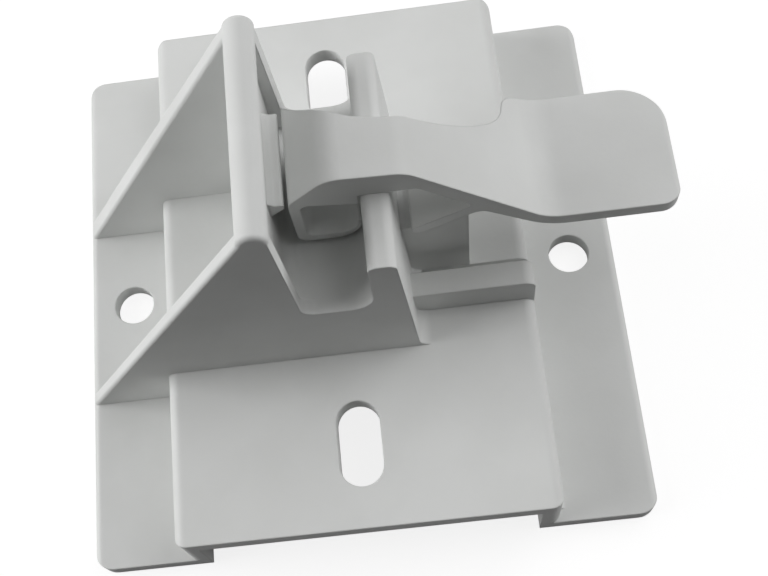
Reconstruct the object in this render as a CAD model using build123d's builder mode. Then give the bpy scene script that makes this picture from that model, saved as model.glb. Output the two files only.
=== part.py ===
from build123d import *
import math
import os

# Awning bracket: a cast, powder-coated wall bracket with a loose locking lever.
# Frame: origin at the centre of the mounting plate on its back face, +Z out of the wall.
# The awning's rail runs along Y, through the trough. The lever's paddle points to +X.

# Mounting plate, a hat section open at both ends
plate_width = 120.0
plate_depth = 120.0
plate_thickness = 4.0
plate_corner_radius = 4.2
plate_edge_round = 1.6
web_width = 79.0
web_height = 19.5
web_thickness = 4.4
web_side_wall = 4.5
web_edge_round = 2.4
web_foot_round = 1.2
web_corner_radius = 2.8

# Fixing holes in the plate and slots in the web
hole_diameter = 9.0
hole_spacing = 100.0
slot_width = 9.0
slot_length = 18.0
slot_spacing = 85.0

# Hook wall with its rod, the trough beside it and the rib that closes the trough
hook_wall_thickness = 3.0
rod_diameter = 5.8
rod_overhang = 2.0
rod_end_round = 1.0
rod_height = 82.3
trough_left = -10.0
trough_width = 17.0
trough_height = 44.4
trough_floor_thickness = 4.0
trough_left_round = 3.0
trough_right_round = 5.0
rib_thickness = 5.3
rib_height = 63.6
rib_head_round = 1.8
rib_draft = 2.4
rib_toe_round = 2.6
hook_near = -23.0
hook_far = 22.6

# Gussets at both ends of the hook wall
near_gusset_thickness = 3.0
far_gusset_thickness = 4.6
far_gusset_draft = 1.4
gusset_top_lip = 1.6
gusset_lip = 3.0
gusset_foot_inset = 0.5
gusset_edge_round = 0.8
gusset_edge_turn = 3.0

# Ledge on the hook wall, a stop for the lever's shoulder
ledge_width = 2.9
ledge_drop = 0.8
ledge_edge = 1.2
ledge_round = 0.5
ledge_cove = 1.2
ledge_near = -7.7
ledge_far = 11.7

# Pad across the web, with a narrow groove behind it, and the lever's rest
pad_left = 14.0
pad_near = -15.4
pad_depth = 5.2
pad_height = 8.6
groove_far = -6.2
groove_depth = 2.6
rest_near = -6.0
rest_far = 2.6
rest_right = 27.0
rest_gap = 0.4

# Lever: a hollow saddle over the rib with a thumb paddle
lever_near = -8.3
lever_left_gap = 0.8
lobe_wall = 2.0
lobe_bottom_gap = 2.1
lobe_round = 6.0
lobe_inner_round = 3.6
lobe_corner_round = 2.4
lobe_rib_gap = 0.4
lobe_tip_rise = 6.4
lobe_tip_width = 0.8
lobe_tip_round = 0.3
lobe_far = 12.4
lobe_roof_drop = 1.6
lobe_roof_fall = 1.8
hollow_round = 1.6
seat_round = 0.4
shoulder_drop = 8.1
shoulder_round = 3.0
crown_rise = 7.3
crown_left = 1.5
crown_width = 14.3
crown_fall = 0.9
crown_round = 6.0
lip_rise = 4.0
lip_end_lean = 1.2
lip_end_round = 0.8
lip_end_share = 0.9
nose_gap = 1.2
nose_height = 42.0
nose_round = 1.4
neck_x = 29.2
neck_drop = 1.0
neck_round = 2.5
neck_wall = 1.4
neck_hollow_round = 1.0
paddle_top = 43.5
paddle_thickness = 3.3
paddle_start = 42.4
paddle_bend = 9.0
paddle_end = 68.6
paddle_rim_round = 1.2
paddle_far = 17.9
paddle_far_round = 9.5
paddle_near_round = 4.0
paddle_side_start = 46.0
waist_far = 3.7
waist_at = 17.0
waist_left = -0.5
waist_left_far = 7.6
waist_right = 35.4
waist_right_far = 12.0

# Worked out from the sizes above
web_inside = web_width / 2 - web_side_wall
web_underside = web_height - web_thickness
web_mid = web_height - web_thickness / 2
plate_mid = plate_thickness / 2
side_wall_mid = web_inside + web_side_wall / 2
rod_x = trough_left + rod_overhang - rod_diameter / 2
rod_z = rod_height - rod_diameter / 2
rod_far = hook_far - far_gusset_draft
hook_wall_middle = trough_left - hook_wall_thickness / 2
hook_wall_left = trough_left - hook_wall_thickness
trough_right = trough_left + trough_width
trough_ceiling = trough_height - trough_floor_thickness
rib_right = trough_right + rib_thickness
rib_middle = trough_right + rib_thickness / 2
rib_toe = rib_right + rib_draft
gusset_foot = gusset_foot_inset - plate_width / 2
gusset_top = rod_x - rod_diameter / 2
near_gusset_back = hook_near + near_gusset_thickness
far_gusset_front = hook_far - far_gusset_thickness
pad_far = pad_near + pad_depth
pad_top = web_height + pad_height
ledge_right = trough_left + ledge_width
lever_left = ledge_right + lever_left_gap
lobe_bottom = trough_height + lobe_bottom_gap
lobe_tip = trough_right - lobe_rib_gap
lobe_inner_left = lever_left + lobe_wall
lobe_inner_floor = lobe_bottom + lobe_wall
lobe_roof = rib_height - lobe_roof_drop
crown_height = rib_height + crown_rise
shoulder_height = crown_height - shoulder_drop
ledge_height = shoulder_height - ledge_drop
ledge_foot = ledge_height - ledge_edge - ledge_width
crown_right = crown_left + crown_width
slope_top = crown_height - crown_fall
slope_fall = (slope_top - paddle_top) / (paddle_start - crown_right)
slope_wall = paddle_thickness * math.sqrt(1 + slope_fall ** 2)
roof_right = crown_right + (slope_top - slope_wall - rib_height) / slope_fall
neck_hollow_x = neck_x - neck_wall
paddle_underside = paddle_top - paddle_thickness


def rib_face(height):
    """X of the rib's drafted right face at a height."""
    return rib_right + rib_draft * (rib_height - height) / (rib_height - web_height)


nose_x = rib_face(nose_height) + nose_gap


def slope_underside(x):
    """Height of the underside of the lever's sloping plate."""
    return slope_top - slope_fall * (x - crown_right) - slope_wall


neck_height = slope_underside(neck_x) - neck_drop


def lever_underside(x):
    """Height of the lever's sloping underside between its nose and its neck."""
    return nose_height + (neck_height - nose_height) * (x - nose_x) / (neck_x - nose_x)


# The nose's round is limited by the lip's end, a short edge
lip_end_length = math.hypot(lip_end_lean, lip_rise)
nose_angle = math.atan2(lip_rise, lip_end_lean) - math.atan2(neck_height - nose_height, neck_x - nose_x)
nose_round_fit = min(nose_round, lip_end_share * lip_end_length * math.tan(nose_angle / 2))


def section_plane(far_y):
    """An XZ plane at far_y. What is extruded from it grows towards the near side."""
    return Plane.XZ.offset(-far_y)


# Bracket body: one casting
with BuildPart() as bracket_body:
    # Hat section
    with BuildSketch(section_plane(plate_depth / 2)) as hat:
        Rectangle(plate_width, plate_thickness, align=(Align.CENTER, Align.MIN))
        Rectangle(web_width, web_height, align=(Align.CENTER, Align.MIN))
        Rectangle(2 * web_inside, web_underside, align=(Align.CENTER, Align.MIN), mode=Mode.SUBTRACT)
        fillet(hat.vertices().group_by(Axis.Y)[-1], web_edge_round)
        plate_top_corners = hat.vertices().group_by(Axis.Y)[1].sort_by(Axis.X)
        fillet(plate_top_corners[1:-1], web_foot_round)
        plate_edges = hat.vertices().filter_by_position(Axis.Y, plate_mid, web_underside / 2).sort_by(Axis.X)
        fillet([plate_edges[0], plate_edges[-1]], plate_edge_round)
    extrude(amount=plate_depth)
    with BuildSketch(Plane.XY):
        RectangleRounded(plate_width, plate_depth, plate_corner_radius)
    extrude(amount=web_height, mode=Mode.INTERSECT)

    # Round corners at the web's ends
    with BuildSketch(Plane.XY.offset(plate_thickness)):
        Rectangle(web_width + 2 * web_foot_round, plate_depth)
        RectangleRounded(web_width, plate_depth, web_corner_radius, mode=Mode.SUBTRACT)
        Rectangle(web_width + 2 * web_foot_round, plate_depth - 2 * web_corner_radius, mode=Mode.SUBTRACT)
    extrude(amount=web_height, mode=Mode.SUBTRACT)

    # Hook wall, trough and rib, one section from end to end
    with BuildSketch(section_plane(hook_far)):
        with BuildLine():
            FilletPolyline(
                (hook_wall_left, web_mid),
                (hook_wall_left, rod_z),
                (trough_left, rod_z),
                (trough_left, trough_height),
                (trough_right, trough_height),
                (trough_right, rib_height),
                (rib_right, rib_height),
                (rib_toe, web_height),
                (rib_toe + 2 * rib_toe_round, web_height),
                (rib_toe + 2 * rib_toe_round, web_mid),
                radius=[0, 0, 0, trough_left_round, trough_right_round, rib_head_round, rib_head_round,
                        rib_toe_round, 0, 0],
                close=True,
            )
        make_face()
    extrude(amount=hook_far - hook_near)

    # Rod along the hook wall's top, with rounded ends
    with BuildSketch(Plane.YZ.offset(rod_x)):
        with BuildLine():
            FilletPolyline(
                (hook_near, rod_z),
                (hook_near, rod_height),
                (rod_far, rod_height),
                (rod_far, rod_z),
                radius=[0, rod_end_round, rod_end_round, 0],
                close=True,
            )
        make_face()
    revolve(axis=Axis((rod_x, 0, rod_z), (0, 1, 0)))

    # Gussets at both ends, from the plate's edge up to the rod
    for far_face, thickness in ((near_gusset_back, near_gusset_thickness), (hook_far, far_gusset_thickness)):
        with BuildSketch(section_plane(far_face)):
            with BuildLine():
                FilletPolyline(
                    (gusset_foot, plate_mid),
                    (gusset_foot, plate_thickness),
                    (gusset_top, rod_z),
                    (trough_left + gusset_top_lip, rod_z),
                    (trough_left + gusset_lip, trough_height),
                    (trough_right, trough_height),
                    (trough_right, rib_height - rib_thickness),
                    (rib_middle, rib_height - rib_thickness),
                    (rib_middle, web_mid),
                    (-side_wall_mid, web_mid),
                    (-side_wall_mid, plate_mid),
                    radius=[0, 0, 0, 0, trough_left_round, trough_right_round, 0, 0, 0, 0, 0],
                    close=True,
                )
            make_face()
        extrude(amount=thickness)

    # Draft on the far gusset's outer face
    with BuildSketch(Plane.YZ.offset(-plate_width / 2)):
        with BuildLine():
            Polyline(
                (hook_far, web_height),
                (hook_far, rod_height),
                (rod_far, rod_height),
                close=True,
            )
        make_face()
    extrude(amount=plate_width, mode=Mode.SUBTRACT)

    # Soft edges along the gussets' slopes, also where the draft turns them a little
    slope = Vector(gusset_top - gusset_foot, 0, rod_z - plate_thickness)
    slope_edges = [
        edge for edge in bracket_body.edges().filter_by(GeomType.LINE)
        if min(slope.get_angle(edge % 0), slope.get_angle(-(edge % 0))) < gusset_edge_turn
    ]
    fillet(slope_edges, gusset_edge_round)

    # Ledge beside the lever's shoulder
    with BuildSketch(section_plane(ledge_far)):
        with BuildLine():
            FilletPolyline(
                (hook_wall_middle, ledge_height + ledge_cove),
                (trough_left, ledge_height + ledge_cove),
                (trough_left + ledge_cove, ledge_height),
                (ledge_right, ledge_height),
                (ledge_right, ledge_height - ledge_edge),
                (trough_left, ledge_foot),
                (hook_wall_middle, ledge_foot),
                radius=[0, 0, ledge_cove, ledge_round, ledge_round, 0, 0],
                close=True,
            )
        make_face()
    extrude(amount=ledge_far - ledge_near)

    # Cored pocket under the trough, open to the back
    with BuildSketch(Plane.XY):
        with Locations(((trough_left + trough_right) / 2, (near_gusset_back + far_gusset_front) / 2)):
            Rectangle(trough_width, far_gusset_front - near_gusset_back)
    extrude(amount=trough_ceiling, mode=Mode.SUBTRACT)

    # Pad across the web
    with BuildSketch(section_plane(pad_far)):
        with BuildLine():
            FilletPolyline(
                (pad_left, web_mid),
                (pad_left, pad_top),
                (web_width / 2, pad_top),
                (web_width / 2, web_height - web_edge_round),
                (web_width / 2 - web_edge_round, web_mid),
                radius=[0, 0, web_edge_round, 0, 0],
                close=True,
            )
        make_face()
    extrude(amount=pad_depth)

    # Groove in the web behind the pad
    with BuildSketch(Plane.XY.offset(web_height - groove_depth)):
        with Locations((pad_left + web_width / 4, (pad_far + groove_far) / 2)):
            Rectangle(web_width / 2, groove_far - pad_far)
    extrude(amount=groove_depth, mode=Mode.SUBTRACT)

    # Rest under the lever, beside the rib
    with BuildSketch(section_plane(rest_far)):
        with BuildLine():
            Polyline(
                (rib_middle, web_mid),
                (rest_right, web_mid),
                (rest_right, lever_underside(rest_right) - rest_gap),
                (nose_x, nose_height - rest_gap),
                (rib_middle, nose_height - rest_gap),
                close=True,
            )
        make_face()
    extrude(amount=rest_far - rest_near)

    # Fixing holes and slots
    with BuildSketch(Plane.XY):
        with GridLocations(hole_spacing, 0, 2, 1):
            Circle(hole_diameter / 2)
        with GridLocations(0, slot_spacing, 1, 2):
            SlotOverall(slot_length, slot_width, rotation=90)
    extrude(amount=web_height, mode=Mode.SUBTRACT)
bracket_body.part.label = "bracket_body"

# Lever: its section runs along Y, and its plan is cut from above
with BuildPart() as lever:
    with BuildSketch(section_plane(paddle_far)):
        with BuildLine():
            FilletPolyline(
                (lever_left, lobe_bottom),
                (lever_left, shoulder_height),
                (crown_left, crown_height),
                (crown_right, crown_height - crown_fall),
                (paddle_start, paddle_top),
                (paddle_end, paddle_top),
                (paddle_end, paddle_underside),
                (paddle_start, paddle_underside),
                (neck_x, neck_height),
                (nose_x, nose_height),
                (nose_x + lip_end_lean, nose_height + lip_rise),
                (neck_hollow_x, slope_underside(neck_hollow_x)),
                (roof_right, rib_height),
                (lobe_tip, rib_height),
                (lobe_tip, lobe_roof - lobe_roof_fall),
                (lobe_inner_left, lobe_roof),
                (lobe_inner_left, lobe_inner_floor),
                (lobe_tip - lobe_tip_width, lobe_inner_floor),
                (lobe_tip - lobe_tip_width, lobe_bottom + lobe_tip_rise),
                (lobe_tip, lobe_bottom + lobe_tip_rise),
                (lobe_tip, lobe_bottom),
                radius=[lobe_corner_round, shoulder_round, crown_round, crown_round, paddle_bend,
                        paddle_rim_round, paddle_rim_round, paddle_bend + paddle_thickness,
                        neck_round, nose_round_fit, lip_end_round, neck_hollow_round, hollow_round,
                        seat_round, seat_round, hollow_round, hollow_round, lobe_inner_round,
                        lobe_tip_round, lobe_tip_round, lobe_round],
                close=True,
            )
        make_face()
    extrude(amount=paddle_far - lever_near)
    with BuildSketch(Plane.XY) as plan:
        with BuildLine():
            Spline(
                (lever_left, lobe_far),
                (waist_left, waist_left_far),
                (waist_at, waist_far),
                (waist_right, waist_right_far),
                (paddle_side_start, paddle_far),
                tangents=[(1, -1), (1, 0)],
            )
            Polyline(
                (paddle_side_start, paddle_far),
                (paddle_end, paddle_far),
                (paddle_end, lever_near),
                (lever_left, lever_near),
                (lever_left, lobe_far),
            )
        make_face()
        paddle_corners = plan.vertices().group_by(Axis.X)[-1].sort_by(Axis.Y)
        fillet(paddle_corners[0], paddle_near_round)
        fillet(plan.vertices().filter_by_position(Axis.Y, paddle_far, paddle_far).sort_by(Axis.X)[-1],
               paddle_far_round)
    extrude(amount=crown_height, mode=Mode.INTERSECT)
lever.part.label = "lever"

os.makedirs("parts", exist_ok=True)
export_step(bracket_body.part, "parts/bracket_body.step")
export_step(lever.part, "parts/lever.step")
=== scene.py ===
import math

import bpy
from mathutils import Euler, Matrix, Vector


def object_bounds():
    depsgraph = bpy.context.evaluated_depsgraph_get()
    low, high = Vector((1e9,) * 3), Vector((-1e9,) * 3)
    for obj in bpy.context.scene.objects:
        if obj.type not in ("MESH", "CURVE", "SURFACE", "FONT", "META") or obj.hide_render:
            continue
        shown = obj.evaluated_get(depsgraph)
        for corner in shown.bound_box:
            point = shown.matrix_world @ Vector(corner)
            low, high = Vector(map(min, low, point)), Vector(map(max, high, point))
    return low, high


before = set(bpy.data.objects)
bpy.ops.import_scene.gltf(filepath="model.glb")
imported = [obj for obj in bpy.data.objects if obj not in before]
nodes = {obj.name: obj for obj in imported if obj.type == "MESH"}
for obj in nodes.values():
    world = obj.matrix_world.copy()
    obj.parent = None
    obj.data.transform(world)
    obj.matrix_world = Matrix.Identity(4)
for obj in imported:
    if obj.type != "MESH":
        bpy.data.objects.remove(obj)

cad_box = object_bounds()
object_middle = (Vector(cad_box[0]) + Vector(cad_box[1])) / 2

# Camera, solved from the square plate in the photograph: pixels of its 768 x 576 frame, metres, degrees
image_width = 768
sensor_width = 36.0
focal_pixels = 1250.9
optical_centre_x = 345.2
near_clip = 0.01
camera_place = (0.01666, -0.10828, 0.26795)
camera_turn = (21.479, 5.820, -4.971)

# Colours, linear
coat_light = (0.760, 0.768, 0.758, 1.0)
coat_dark = (0.712, 0.720, 0.708, 1.0)
floor_colour = (0.25, 0.25, 0.25, 1.0)
backdrop_colour = (0.84, 0.84, 0.84, 1.0)

# Powder coat: a matt ground under a thin clear gloss
ground_gloss = 0.0
ground_roughness = 0.5
gloss_weight = 0.16
gloss_roughness = 0.28

# Clouds in the coat's colour, shifted on the lever so that they don't run on from the body
cloud_scale = 45.0
cloud_detail = 4.0
cloud_low = 0.30
cloud_high = 0.62
body_shift = 0.0
lever_shift = 1.7

# Orange peel in the coat, and its soft round over sharp edges
peel_scale = 900.0
peel_detail = 2.0
peel_strength = 0.10
peel_depth = 0.0002
edge_round = 0.0005
edge_samples = 6

# Floor: half its side, so wide that its far edge meets the backdrop unseen
floor_half = 8.0

# Light: where each soft box stands, its size and its power
soft_boxes = {
    "top_box": ((0, 0.35, 0.95), 1.5, 3.48),
    "left_box": ((-1.0, 0, 0.55), 0.8, 6.26),
    "low_left_box": ((-1.1, 0.1, 0.25), 0.5, 4.18),
    "low_right_box": ((1.1, 0.1, 0.25), 0.5, 3.13),
    "high_right_box": ((0.65, 0.1, 0.85), 0.8, 2.96),
    "back_right_box": ((0.8, 0.8, 0.65), 0.7, 2.61),
    "back_left_box": ((-0.8, 0.8, 0.65), 0.7, 0.87),
}


def make_camera():
    """The photograph's camera, with its optical centre left of the picture's middle."""
    data = bpy.data.cameras.new("camera")
    data.sensor_width = sensor_width
    data.lens = focal_pixels / image_width * sensor_width
    data.shift_x = (image_width / 2 - optical_centre_x) / image_width
    data.clip_start = near_clip
    camera = bpy.data.objects.new("camera", data)
    camera.location = camera_place
    camera.rotation_euler = Euler([math.radians(angle) for angle in camera_turn])
    bpy.context.scene.collection.objects.link(camera)
    bpy.context.scene.camera = camera


def add_node(tree, kind, inputs=None, **settings):
    """A shader node with its properties set, and its inputs by name."""
    node = tree.nodes.new(kind)
    for name, value in settings.items():
        setattr(node, name, value)
    for name, value in (inputs or {}).items():
        node.inputs[name].default_value = value
    return node


def powder_coat(name, pattern_shift):
    """White powder coat: faint clouds in the colour, and the orange-peel skin of a baked coat."""
    material = bpy.data.materials.new(name)
    material.use_nodes = True
    tree = material.node_tree
    tree.nodes.clear()
    links = tree.links
    output = add_node(tree, "ShaderNodeOutputMaterial")
    shader = add_node(tree, "ShaderNodeBsdfPrincipled", {
        "Specular IOR Level": ground_gloss, "Roughness": ground_roughness,
        "Coat Weight": gloss_weight, "Coat Roughness": gloss_roughness})
    links.new(shader.outputs["BSDF"], output.inputs["Surface"])

    place = add_node(tree, "ShaderNodeTexCoord")
    shift = add_node(tree, "ShaderNodeMapping", {"Location": (pattern_shift, pattern_shift, 0)})
    links.new(place.outputs["Object"], shift.inputs["Vector"])

    clouds = add_node(tree, "ShaderNodeTexNoise", {"Scale": cloud_scale, "Detail": cloud_detail})
    links.new(shift.outputs["Vector"], clouds.inputs["Vector"])
    ramp = add_node(tree, "ShaderNodeValToRGB")
    dark_stop, light_stop = ramp.color_ramp.elements
    dark_stop.position = cloud_low
    dark_stop.color = coat_dark
    light_stop.position = cloud_high
    light_stop.color = coat_light
    links.new(clouds.outputs["Fac"], ramp.inputs["Fac"])
    links.new(ramp.outputs["Color"], shader.inputs["Base Color"])

    peel = add_node(tree, "ShaderNodeTexNoise", {"Scale": peel_scale, "Detail": peel_detail})
    links.new(shift.outputs["Vector"], peel.inputs["Vector"])
    bump = add_node(tree, "ShaderNodeBump", {"Strength": peel_strength, "Distance": peel_depth})
    links.new(peel.outputs["Fac"], bump.inputs["Height"])
    soft_edge = add_node(tree, "ShaderNodeBevel", {"Radius": edge_round}, samples=edge_samples)
    links.new(soft_edge.outputs["Normal"], bump.inputs["Normal"])
    links.new(bump.outputs["Normal"], shader.inputs["Normal"])
    links.new(bump.outputs["Normal"], shader.inputs["Coat Normal"])
    return material


def dress(node, material):
    """Gives a CAD node its finished material."""
    mesh = nodes[node].data
    mesh.materials.clear()
    mesh.materials.append(material)


def seen_white(tree):
    """1 for a ray from the camera, a reflection or a clear piece, and 0 for all other rays."""
    ray = add_node(tree, "ShaderNodeLightPath")
    mirrored = add_node(tree, "ShaderNodeMath", operation="MAXIMUM")
    seen = add_node(tree, "ShaderNodeMath", operation="MAXIMUM")
    tree.links.new(ray.outputs["Is Glossy Ray"], mirrored.inputs[0])
    tree.links.new(ray.outputs["Is Transmission Ray"], mirrored.inputs[1])
    tree.links.new(ray.outputs["Is Camera Ray"], seen.inputs[0])
    tree.links.new(mirrored.outputs["Value"], seen.inputs[1])
    return seen.outputs["Value"]


def floor_material():
    """A pale floor that is seen as white, with the object's shadow kept."""
    material = bpy.data.materials.new("floor")
    material.use_nodes = True
    material.cycles.emission_sampling = "NONE"
    tree = material.node_tree
    tree.nodes.clear()
    output = add_node(tree, "ShaderNodeOutputMaterial")
    plain = add_node(tree, "ShaderNodeBsdfDiffuse", {"Color": floor_colour})
    white = add_node(tree, "ShaderNodeEmission", {"Color": backdrop_colour})
    both = add_node(tree, "ShaderNodeAddShader")
    tree.links.new(seen_white(tree), white.inputs["Strength"])
    tree.links.new(plain.outputs["BSDF"], both.inputs[0])
    tree.links.new(white.outputs["Emission"], both.inputs[1])
    tree.links.new(both.outputs["Shader"], output.inputs["Surface"])
    return material


def make_floor():
    """A plain floor under the object's back."""
    mesh = bpy.data.meshes.new("floor")
    height = cad_box[0].z
    sides = ((-1, -1), (1, -1), (1, 1), (-1, 1))
    corners = [(x * floor_half, y * floor_half, height) for x, y in sides]
    mesh.from_pydata(corners, [], [(0, 1, 2, 3)])
    mesh.materials.append(floor_material())
    floor = bpy.data.objects.new("floor", mesh)
    bpy.context.scene.collection.objects.link(floor)


def area_lamp(name, place, size, power):
    """A square soft lamp aimed at the middle of the object."""
    data = bpy.data.lights.new(name, "AREA")
    data.shape = "SQUARE"
    data.size = size
    data.energy = power
    lamp = bpy.data.objects.new(name, data)
    lamp.location = place
    lamp.rotation_euler = (object_middle - Vector(place)).to_track_quat("-Z", "Y").to_euler()
    bpy.context.scene.collection.objects.link(lamp)


def make_world():
    """A backdrop that is white to the eye and in the coat's gloss, and lights nothing else."""
    world = bpy.data.worlds.new("world")
    world.use_nodes = True
    bpy.context.scene.world = world
    tree = world.node_tree
    tree.nodes.clear()
    output = add_node(tree, "ShaderNodeOutputWorld")
    white = add_node(tree, "ShaderNodeBackground", {"Color": backdrop_colour})
    tree.links.new(seen_white(tree), white.inputs["Strength"])
    tree.links.new(white.outputs["Background"], output.inputs["Surface"])


make_camera()
make_floor()
make_world()
for box_name, (place, size, power) in soft_boxes.items():
    area_lamp(box_name, place, size, power)
dress("bracket_body", powder_coat("body_coat_finish", body_shift))
dress("lever", powder_coat("lever_coat_finish", lever_shift))

bpy.context.scene.view_settings.view_transform = "Standard"
